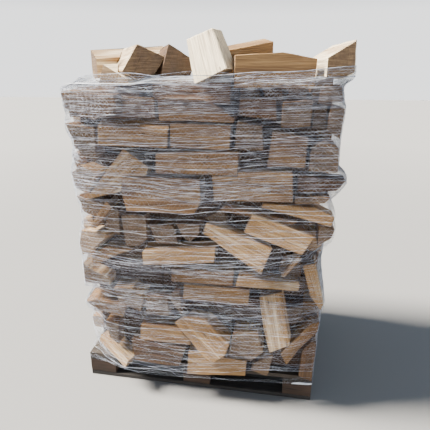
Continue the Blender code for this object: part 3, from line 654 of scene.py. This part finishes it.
def stack_sides():
    """The logs of the back, the two sides and the top course, by name of the side."""
    dice = random.Random(HEAP_SEED)
    low = COURSE_FOOT
    high = STACK_TOP - TOP_TALL
    sides = {}
    for name, heading, plane, reach, corner_deep in (
        ("back", 90, BACK_Y, 0.42, BACK_CORNER_DEEP),
        ("right", 0, SIDE_X, 0.16, LOG_LONG),
        ("left", 180, SIDE_X, 0.16, LOG_LONG),
    ):
        splits = [at + dice.uniform(-BAND_SHIFT, BAND_SHIFT) for at in BAND_SPLITS]
        levels = [low, *splits, high]
        number = 5 if name == "back" else 3
        thrown = thrown_logs(dice, reach, low + THROWN_MARGIN, high - THROWN_MARGIN, number)
        logs = askew_logs(dice, heading, plane, thrown)
        for foot, head in zip(levels, levels[1:]):
            bays = list(BACK_BAYS if name == "back" else dice.choice(SIDE_BAYS))
            dice.shuffle(bays)
            logs += side_courses(dice, heading, plane, foot, head, bays, thrown, corner_deep)
        sides[name] = logs
    sides["top"] = top_course(dice)
    return sides


# Split wood, worked up from a log's plain shape


def grain_axis(bm):
    """The direction of a log's length: the way it reaches furthest, set straight by its edges."""
    points = np.array([v.co for v in bm.verts])
    points -= points.mean(axis=0)
    longest = Vector(np.linalg.svd(points, full_matrices=False)[2][0])
    total = Vector()
    for edge in bm.edges:
        run = edge.verts[1].co - edge.verts[0].co
        along = run.dot(longest)
        if abs(along) > 0.90 * run.length:
            total += run * math.copysign(run.length, along)
    return (total if total.length > 0 else longest).normalized()


def across_axes(axis):
    side = axis.cross(Vector((0.0, 0.0, 1.0)))
    if side.length < 0.2:
        side = axis.cross(Vector((1.0, 0.0, 0.0)))
    side.normalize()
    return side, side.cross(axis)


def slice_up(bm, axis, cell, dice):
    """Cuts the faces by planes across one axis, about a cell apart."""
    reach = [v.co.dot(axis) for v in bm.verts]
    low, high = min(reach), max(reach)
    count = max(1, round((high - low) / cell))
    step = (high - low) / count
    for i in range(1, count):
        at = low + step * (i + dice.uniform(-CELL_SHIFT, CELL_SHIFT))
        geometry = bm.verts[:] + bm.edges[:] + bm.faces[:]
        bmesh.ops.bisect_plane(bm, geom=geometry, plane_co=axis * at, plane_no=axis, dist=1e-6)


def carve(bm, dice, tone, barked=False, cell=1.0):
    """Turns a plain log into split wood: edges with wear, torn faces, sawn ends, its grain and tone."""
    bmesh.ops.remove_doubles(bm, verts=bm.verts, dist=2e-5)
    bmesh.ops.dissolve_limit(bm, angle_limit=math.radians(1.0), verts=bm.verts, edges=bm.edges)
    axis = grain_axis(bm)
    side, rise = across_axes(axis)
    middle = sum((v.co for v in bm.verts), Vector()) / len(bm.verts)
    sharp = [e for e in bm.edges if len(e.link_faces) == 2 and e.calc_face_angle() > SHARP_FROM]
    wear_and_painted_net_shade = WORN_EDGE * dice.uniform(*WORN_SPREAD)
    bmesh.ops.bevel(bm, geom=sharp, offset=wear_and_painted_net_shade, segments=1, profile=0.5, affect="EDGES", clamp_overlap=True)
    slice_up(bm, axis, CELL_LONG * cell, dice)
    slice_up(bm, side, CELL_WIDE * cell, dice)
    slice_up(bm, rise, CELL_WIDE * cell, dice)
    bm.normal_update()
    width = max(abs((v.co - middle).dot(side)) for v in bm.verts)
    height = max(abs((v.co - middle).dot(rise)) for v in bm.verts)
    angle = dice.uniform(0, 2 * math.pi)
    away = side * math.cos(angle) * width + rise * math.sin(angle) * height
    pith = middle + away * dice.uniform(*PITH_AWAY)
    shift = dice.uniform(-40, 40)
    grain = bm.verts.layers.float_vector.new("grain")
    tones = bm.verts.layers.float.new("tone")
    seed = Vector((dice.uniform(0, 90), dice.uniform(0, 90), dice.uniform(0, 90)))
    for vert in bm.verts:
        local = vert.co - pith
        at = Vector((local.dot(axis), local.dot(side), local.dot(rise)))
        vert[grain] = at + Vector((shift, 0, 0))
        vert[tones] = tone
        ends_on = abs(vert.normal.dot(axis))
        long_waves = noise.noise(Vector((at.x * 5, at.y * 16, at.z * 16)) + seed)
        fibres = noise.noise(Vector((at.x * 14, at.y * 60, at.z * 60)) + seed)
        pull = UNEVEN * (0.75 * long_waves + 0.55 * fibres - 0.55)
        vert.co += vert.normal * pull * (END_CALM if ends_on > FLAT_END else 1.0)
    for face in bm.faces:
        face.smooth = True
        face.material_index = 0
        if abs(face.normal.dot(axis)) > END_FACING:
            face.material_index = 1
        elif barked and face.normal.dot(-away) > BARK_FACING * away.length:
            face.material_index = 2
    for edge in bm.edges:
        edge.smooth = len(edge.link_faces) == 2 and edge.calc_face_angle() < SMOOTH_TO
    return bm


def merged(name, shapes):
    """One mesh of many, with their attributes."""
    bm = bmesh.new()
    for shape in shapes:
        mesh = bpy.data.meshes.new("part_of_" + name)
        shape.to_mesh(mesh)
        shape.free()
        bm.from_mesh(mesh)
        bpy.data.meshes.remove(mesh)
    mesh = bpy.data.meshes.new(name)
    bm.to_mesh(mesh)
    bm.free()
    return mesh


def piece(name, mesh, looks, replaced=()):
    made = bpy.data.objects.new(name, mesh)
    bpy.context.scene.collection.objects.link(made)
    for look in looks:
        mesh.materials.append(look)
    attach(made, "root")
    if replaced:
        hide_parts(*replaced)
    return made


def free_logs(dice, looks):
    """The logs that have nodes of their own."""
    made = []
    names = sorted(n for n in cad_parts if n.startswith(("front_log_", "top_log_")))
    for name in names:
        number = int(name.rsplit("_", 1)[1]) - 1
        tone = FRONT_TONES[number] if name.startswith("front") else TOP_TONES_WITH_PAINTED_SUN[number]
        bm = bmesh.new()
        bm.from_mesh(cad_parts[name].data)
        carve(bm, dice, tone, name in BARKED, FINE)
        mesh = merged(name + "_wood", [bm])
        made.append(piece(name + "_wood", mesh, looks, [name]))
    return made


def drawn_logs(entries, dice):
    return [carve(drawn_log(e["face"], e["y"], e["deep"]), dice, e["tone"]) for e in entries]


def stack_pieces(dice, looks):
    """The logs that the stack's one solid stands for, one piece for each side."""
    shapes = {"front": drawn_logs(BACKED_LOGS, dice)}
    for side, logs in stack_sides().items():
        shapes[side] = []
        for log in logs:
            tone = min(dice.triangular(*(TOP_COURSE_TONES_WITH_PAINTED_SHADE if side == "top" else SIDE_TONES)), PALEST)
            barked = dice.random() < BARKED_SHARE
            shapes[side].append(carve(split_log(**log), dice, tone, barked, COARSE))
    shapes["inside"] = drawn_logs(FILLING_LOGS, dice)
    for log in inner_logs():
        shapes["inside"].append(carve(split_log(**log), dice, dice.uniform(*INNER_PAINTED_SHADE_TONES), False, PLAIN))
    shapes["inside"] += tucked_logs()
    made = []
    for side, logs in shapes.items():
        name = "stacked_logs_" + side
        made.append(piece(name, merged(name, logs), looks, ["stacked_logs"]))
    return made


def tucked_logs():
    """Logs that close notches of the top course."""
    dice = random.Random(HEAP_SEED + 2)
    logs = []
    for middle, heading, length, width, height, tone in TUCKED_LOGS:
        place = log_pose(Vector(middle), heading, dice.uniform(-1.0, 1.0))
        logs.append(carve(split_log(**random_log(dice, place, length, width, height)), dice, tone))
    return logs


def inner_logs():
    """Rows behind the outer ones, which fill the gaps between these."""
    dice = random.Random(HEAP_SEED + 1)
    logs = []
    for heading, plane, reach in INNER_ROWS:
        out = Vector((math.cos(math.radians(heading)), math.sin(math.radians(heading)), 0.0))
        across = Vector((-out.y, out.x, 0.0))
        piles = round(2 * reach / LOG_LONG)
        courses = round((INNER_TOP - COURSE_FOOT) / COURSE_HIGH)
        tall = (INNER_TOP - COURSE_FOOT) / courses
        for pile in range(piles):
            at = across * (-reach + (pile + 0.5) * 2 * reach / piles)
            for course in range(courses):
                middle = at + out * (plane - INNER_DEEP / 2 + dice.uniform(-0.010, 0.008))
                middle.z = COURSE_FOOT + (course + 0.5) * tall
                place = log_pose(middle, heading + 90, dice.uniform(-INNER_TILT, INNER_TILT))
                logs.append(random_log(dice, place, 2 * reach / piles - 0.002, INNER_DEEP, tall * 1.05))
    return logs


# The net


def load_reach(pieces):
    """How far the load reaches in each direction at each level, from its pieces' points."""
    points = []
    for each in pieces:
        found = np.zeros(len(each.data.vertices) * 3)
        each.data.vertices.foreach_get("co", found)
        points.append(found.reshape(-1, 3))
    points = np.vstack(points)
    turns = np.arange(DIRECTIONS) * 2 * math.pi / DIRECTIONS
    outward = np.stack([np.cos(turns), np.sin(turns)], axis=1)
    levels = np.arange(*LEVELS, LEVEL)
    table = np.zeros((len(levels), DIRECTIONS))
    for i, z in enumerate(levels):
        near = points[np.abs(points[:, 2] - z) < LEVEL_REACH]
        table[i] = (near[:, :2] @ outward.T).max(axis=0) if len(near) else table[i - 1]
        if z > STACK_TOP - 0.03:
            table[i] = np.maximum(table[i], table[i - 1] - LEAN_IN)
    smooth = table.copy()
    smooth[1:-1] = (table[:-2] + 2 * table[1:-1] + table[2:]) / 4
    return levels, turns, np.maximum(smooth, table - DRAWN_IN)


class Wrap:
    """Finds points on the tight outline of the load."""

    def __init__(self, pieces):
        self.levels, turns, reach = load_reach(pieces)
        self.angles = np.linspace(-math.pi, math.pi, ANGLES + 1)
        cosines = np.cos(turns[:, None] - self.angles[None, :])
        usable = np.where(cosines > 0.05, cosines, np.nan)
        self.radius = np.nanmin(reach[:, :, None] / usable[None, :, :], axis=1)
        ring = self.radius[len(self.levels) // 2]
        x, y = ring * np.cos(self.angles), ring * np.sin(self.angles)
        walked = np.concatenate([[0.0], np.cumsum(np.hypot(np.diff(x), np.diff(y)))])
        steps = np.linspace(0, walked[-1], LOOP_POINTS + 1)[:-1]
        self.loop = np.interp(steps, walked, self.angles)
        self.around = walked[-1]

    def points(self, angles, z, lift=NET_STAND_OFF):
        """Points at those angles and heights, that far off the load."""
        level = np.clip((z - self.levels[0]) / LEVEL, 0, len(self.levels) - 1.001)
        low = level.astype(int)
        share = level - low
        column = (angles + math.pi) / (2 * math.pi) * ANGLES
        left = np.clip(column.astype(int), 0, ANGLES - 1)
        part = column - left
        below = self.radius[low, left] * (1 - part) + self.radius[low, left + 1] * part
        above = self.radius[low + 1, left] * (1 - part) + self.radius[low + 1, left + 1] * part
        radius = below * (1 - share) + above * share + lift
        return np.stack([radius * np.cos(angles), radius * np.sin(angles), z], axis=1)


def tubes(lines, radii, closed):
    """Three-sided tubes along lines of equal point count. Returns points and faces."""
    lines = np.array(lines)
    radii = np.reshape(radii, (-1, 1, 1))
    count, length, _ = lines.shape
    if closed:
        ahead = np.roll(lines, -1, axis=1) - np.roll(lines, 1, axis=1)
    else:
        ahead = np.gradient(lines, axis=1)
    ahead /= np.linalg.norm(ahead, axis=2, keepdims=True) + 1e-12
    outward = lines * (1.0, 1.0, 0.0)
    outward /= np.linalg.norm(outward, axis=2, keepdims=True)
    beside = np.cross(ahead, outward)
    beside /= np.linalg.norm(beside, axis=2, keepdims=True) + 1e-12
    outward = np.cross(beside, ahead)
    corners = []
    for k in range(3):
        turn = 2 * math.pi * k / 3
        corners.append(lines + radii * (math.cos(turn) * outward + math.sin(turn) * beside))
    points = np.stack(corners, axis=2).reshape(-1, 3)
    index = np.arange(count * length * 3).reshape(count, length, 3)
    following = np.roll(index, -1, axis=1) if closed else index[:, 1:]
    here = index if closed else index[:, :-1]
    faces = []
    for k in range(3):
        j = (k + 1) % 3
        quads = np.stack([here[..., k], here[..., j], following[..., j], following[..., k]], axis=-1)
        faces.append(quads.reshape(-1, 4))
    return points, np.concatenate(faces)


def mesh_of(name, parts):
    """One mesh from several arrays of points and quads."""
    points = []
    faces = []
    start = 0
    for some, quads in parts:
        points.append(some)
        faces.append(quads + start)
        start += len(some)
    points = np.concatenate(points)
    faces = np.concatenate(faces)
    mesh = bpy.data.meshes.new(name)
    mesh.from_pydata(points.tolist(), [], faces.tolist())
    mesh.shade_smooth()
    return mesh


# One turn of the net each: height of its middle, its width, how many strands, how much it
# rises from left to right, how much its strands wander, and their radius
TURNS = (
    ("rim", 1.345, 0.490, 32, 0.028, 0.0045, 0.00046),
    ("crown", 1.520, 0.150, 18, 0.020, 0.0055, 0.00052),
    ("upper", 1.320, 0.480, 31, 0.008, 0.0050, 0.00044),
    ("middle", 0.935, 0.420, 25, 0.030, 0.0060, 0.00041),
    ("waist", 0.640, 0.330, 19, 0.030, 0.0060, 0.00040),
    ("lower", 0.615, 0.240, 13, 0.012, 0.0060, 0.00038),
    ("foot", 0.352, 0.336, 20, 0.030, 0.0065, 0.00041),
    ("hem", 0.142, 0.026, 3, 0.004, 0.0040, 0.00026),
)

# Where the strands are drawn together: angle and height, how far it reaches, and how much
PINCH_AT = (math.atan2(-0.30, 0.60), 0.88)
PINCH_WIDE = 0.22
PINCH_TALL = 0.10
PINCH_PULL = 0.7


def strand_heights(wrap, turn, dice):
    """The height of each strand of one turn at each point round the load."""
    _, middle, width, count, rise, wander, _ = turn
    angles = wrap.loop
    tilt = rise * np.cos(angles) + 0.6 * rise * np.cos(2 * angles)
    shares = np.linspace(-0.5, 0.5, count)
    sway = [dice.uniform(0, 2 * math.pi) for _ in range(4)]
    squeeze = 1 - 0.06 * np.sin(2 * angles + sway[0]) - 0.04 * np.sin(5 * angles + sway[1])
    heights = []
    for share in shares:
        phase = dice.uniform(0, 2 * math.pi)
        wave = np.sin(3 * angles + sway[2] + share) + 0.7 * np.sin(7 * angles + phase)
        wave = wave + 0.5 * np.sin(13 * angles + phase * 2)
        z = middle + width * share * squeeze + tilt + wander * wave
        near = np.exp(-(((angles - PINCH_AT[0]) / PINCH_WIDE) ** 2))
        pull = np.exp(-(((z - PINCH_AT[1]) / PINCH_TALL) ** 2)) * PINCH_PULL
        heights.append(z + (PINCH_AT[1] - z) * near * pull)
    return np.clip(np.array(heights), NET_FOOT, None)


def net_turn(wrap, turn, dice):
    """The strands of one turn and the threads between them."""
    heights = strand_heights(wrap, turn, dice)
    lift = NET_STAND_OFF + dice.uniform(0.0, 0.002)
    return knitted([wrap.points(wrap.loop, z, lift) for z in heights], wrap.around, turn[-1], dice)


def along_strand(strand, spots):
    """The points of a strand at those places, which count its own points."""
    places = np.arange(len(strand))
    return np.stack([np.interp(spots, places, strand[:, k]) for k in range(3)], axis=1)


def knitted(strands, around, thick, dice):
    """Strands of uneven thickness with threads that zigzag from each to the next."""
    radii = np.array([dice.triangular(*UNEVEN_THICK) for _ in strands]) * thick
    threads = []
    zigs = int(around / ZIGZAG / 2) * 2
    for lower, upper in zip(strands, strands[1:]):
        shifts = np.array([dice.uniform(-ZIG_SHIFT, ZIG_SHIFT) for _ in range(zigs * 2)])
        spots = (np.arange(zigs * 2) + 0.5 + shifts) / (zigs * 2) * (LOOP_POINTS - 1)
        on_upper = (np.arange(len(spots)) % 2 == 1)[:, None]
        threads.append(np.where(on_upper, along_strand(upper, spots), along_strand(lower, spots)))
    thin = np.full(len(threads), thick * THREAD_SHARE)
    return [tubes(strands, radii, True), tubes(threads, thin, True)]


def spread_out(grid, pick):
    """Each cell of a grid with what pick makes of it and its eight neighbours."""
    return pick([np.roll(np.roll(grid, i, 0), j, 1) for i in (-1, 0, 1) for j in (-1, 0, 1)], axis=0)


def top_heights(load):
    """The height of the stack's top at the points of a square grid."""
    grid = np.full((2 * GRID_HALF + 1, 2 * GRID_HALF + 1), FOLD_FLOOR)
    for each in load:
        if not each.name.startswith(("top_log", "deck", "stringer")):
            found = np.zeros(len(each.data.vertices) * 3)
            each.data.vertices.foreach_get("co", found)
            found = found.reshape(-1, 3)
            place = np.rint(found[:, :2] / GRID_CELL).astype(int) + GRID_HALF
            np.maximum.at(grid, (place[:, 0], place[:, 1]), found[:, 2])
    for pick in (np.max, np.max, np.mean, np.mean):
        grid = spread_out(grid, pick)
    return grid


def build_fold(wrap, load, look, dice):
    """The net's upper edge, folded in over the top logs."""
    grid = top_heights(load)
    edge = wrap.points(wrap.loop, np.full(LOOP_POINTS, FOLD_LEVEL), 0.0)
    strands = []
    for i in range(FOLD_STRANDS):
        sway = dice.uniform(0, 2 * math.pi)
        waves = np.sin(3 * wrap.loop + sway) + np.sin(8 * wrap.loop + 2 * sway)
        inset = FOLD_DEEP * (i + 0.5) / FOLD_STRANDS + FOLD_SWAY * waves
        x = edge[:, 0] * (1 - inset / SIDE_X)
        y = edge[:, 1] * (1 - inset / BACK_Y)
        u, v = x / GRID_CELL + GRID_HALF, y / GRID_CELL + GRID_HALF
        i0, j0 = u.astype(int), v.astype(int)
        a, b = u - i0, v - j0
        near = grid[i0, j0] * (1 - a) * (1 - b) + grid[i0 + 1, j0] * a * (1 - b)
        z = near + grid[i0, j0 + 1] * (1 - a) * b + grid[i0 + 1, j0 + 1] * a * b
        z = (np.roll(z, 1) + 2 * z + np.roll(z, -1)) / 4
        strands.append(np.stack([x, y, z + NET_STAND_OFF + FOLD_RIPPLE * waves], axis=1))
    mesh = mesh_of("net_fold", knitted(strands, wrap.around, FOLD_THICK, dice))
    piece("net_fold", mesh, [look], ["net_wrap"])


def build_net(load, wear_and_painted_net_shade, painted_sunlit_net):
    """The whole net: its turns and loose threads in plastic with painted bluish shade and painted glints, its
    fold and tail in plastic with painted sunlight.
    """
    dice = random.Random(DETAIL_SEED + 1)
    wrap = Wrap(load)
    for turn in TURNS:
        mesh = mesh_of("net_" + turn[0], net_turn(wrap, turn, dice))
        piece("net_" + turn[0], mesh, [wear_and_painted_net_shade], ["net_wrap"])
    # The fold and the tail take the plastic with painted sunlight
    build_fold(wrap, load, painted_sunlit_net, dice)
    build_tail(wrap, painted_sunlit_net, dice)
    build_loose_threads(wrap, wear_and_painted_net_shade, dice)


def build_loose_threads(wrap, look, dice):
    """Slack and torn threads that lie across the strands."""
    threads = []
    for _ in range(LOOSE_THREADS):
        start = dice.uniform(-math.pi, math.pi)
        z = dice.uniform(NET_FOOT + 0.05, STACK_TOP - 0.02)
        along = np.linspace(0, 1, LOOSE_POINTS)
        angles = start + dice.choice((-1, 1)) * dice.uniform(*LOOSE_LONG) * along
        angles = (angles + math.pi) % (2 * math.pi) - math.pi
        rise = dice.uniform(-LOOSE_RISE, LOOSE_RISE) * along
        rise = rise + dice.uniform(*LOOSE_SAG) * np.sin(dice.uniform(2, 9) * along)
        height = np.clip(z + rise, NET_FOOT, STACK_TOP)
        threads.append(wrap.points(angles, height, NET_STAND_OFF + 0.002))
    mesh = mesh_of("net_loose_threads", [tubes(threads, LOOSE_THICK, False)])
    piece("net_loose_threads", mesh, [look], ["net_wrap"])


def build_tail(wrap, look, dice):
    """The net's loose end, gathered and tucked against the edge of the deck."""
    strands = []
    for i in range(TAIL_STRANDS):
        share = i / (TAIL_STRANDS - 1)
        along = np.linspace(0, 1, TAIL_POINTS)
        angles = np.interp(along, (0, 1), TAIL_TURN)
        spread = np.sin(np.pi * np.clip(along * 0.9 + 0.05, 0, 1)) ** 0.5
        phase = dice.uniform(0, 2 * math.pi)
        z = TAIL_HIGH + (share - 0.5) * TAIL_TALL * spread + TAIL_RIPPLE * np.sin(9 * along + phase)
        strands.append(wrap.points(angles, z - TAIL_DROP * along, NET_STAND_OFF + 0.003))
    mesh = mesh_of("net_tail", [tubes(strands, TAIL_STRAND, False)])
    piece("net_tail", mesh, [look], ["net_wrap"])


# Pallet


def dress_pallet():
    """Weathered wood on the pallet's own solids."""
    boards = pallet_wood("weathered_board", (0.04, 1.0, 1.0), *BOARD_COLOURS)
    stringers = pallet_wood("weathered_stringer", (1.0, 0.04, 1.0), *BOARD_COLOURS)
    decks = pallet_wood("weathered_deck", (0.04, 1.0, 1.0), *DECK_COLOURS)
    blocks = pallet_wood("weathered_block", (0.06, 1.0, 1.0), *BLOCK_COLOURS)
    for name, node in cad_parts.items():
        for start, look in (("block", blocks), ("stringer", stringers), ("bottom", boards), ("deck", decks)):
            if name.startswith(start):
                node.data.materials.clear()
                node.data.materials.append(look)


# Floor, light and camera


def build_stage():
    mesh = bpy.data.meshes.new("floor")
    corners = [(x * FLOOR_HALF, y * FLOOR_HALF, FLOOR_DROP) for x, y in ((-1, -1), (1, -1), (1, 1), (-1, 1))]
    mesh.from_pydata(corners, [], [(0, 1, 2, 3)])
    mesh.materials.append(floor_paint())
    floor = bpy.data.objects.new("floor", mesh)
    bpy.context.scene.collection.objects.link(floor)


def area_light(name, place, aim, size, power, colour):
    data = bpy.data.lights.new(name, "AREA")
    data.shape = "SQUARE"
    data.size = size
    data.energy = power
    data.color = colour
    made = bpy.data.objects.new(name, data)
    bpy.context.scene.collection.objects.link(made)
    made.location = place
    made.rotation_euler = (Vector(aim) - Vector(place)).to_track_quat("-Z", "Y").to_euler()


def build_light():
    world = bpy.data.worlds.new("studio")
    world.use_nodes = True
    nodes = world.node_tree.nodes
    links = world.node_tree.links
    sky = nodes["Background"]
    direction = nodes.new("ShaderNodeTexCoord")
    height = nodes.new("ShaderNodeSeparateXYZ")
    ramp = nodes.new("ShaderNodeValToRGB")
    for element, place, colour in zip(ramp.color_ramp.elements, SKY_PLACES, (SKY_LOW, SKY_HIGH)):
        element.position = place
        element.color = colour
    links.new(direction.outputs["Generated"], height.inputs[0])
    links.new(height.outputs[2], ramp.inputs[0])
    links.new(ramp.outputs[0], sky.inputs["Color"])
    sky.inputs["Strength"].default_value = SKY_STRENGTH
    bpy.context.scene.world = world
    data = bpy.data.lights.new("key", "SUN")
    data.angle = math.radians(SUN_WIDE)
    data.energy = SUN_ENERGY
    data.color = SUN_COLOUR
    key = bpy.data.objects.new("key", data)
    bpy.context.scene.collection.objects.link(key)
    key.rotation_euler = Vector(SUN_FROM).to_track_quat("Z", "Y").to_euler()
    area_light("fill", FILL_AT, FILL_AIM, FILL_SIZE, FILL_POWER, FILL_COLOUR)


def build_camera():
    data = bpy.data.cameras.new("photo_camera")
    data.sensor_width = SENSOR
    data.lens = CAMERA_LENS
    data.clip_end = 200.0
    made = bpy.data.objects.new("photo_camera", data)
    bpy.context.scene.collection.objects.link(made)
    made.location = CAMERA_AT
    made.rotation_euler = (math.radians(90 - CAMERA_DOWN), 0.0, math.radians(CAMERA_TURN))
    bpy.context.scene.camera = made


def main():
    build_camera()
    dice = random.Random(DETAIL_SEED)
    looks = [split_wood(), end_grain(), bark()]
    load = free_logs(dice, looks) + stack_pieces(dice, looks)
    dress_pallet()
    # Net plastic with painted bluish shade and painted glints, and net plastic with painted sunlight for the
    # fold and tail
    wear_and_painted_net_shade = net_plastic("net_plastic", *PAINTED_SHADE_NET)
    painted_sunlit_net = net_plastic("net_painted_sunlit_plastic", *PAINTED_SUNLIT_NET)
    decks = [node for name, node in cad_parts.items() if name.startswith(("deck", "stringer"))]
    build_net(load + decks, wear_and_painted_net_shade, painted_sunlit_net)
    build_stage()
    build_light()


main()
bpy.context.view_layer.update()
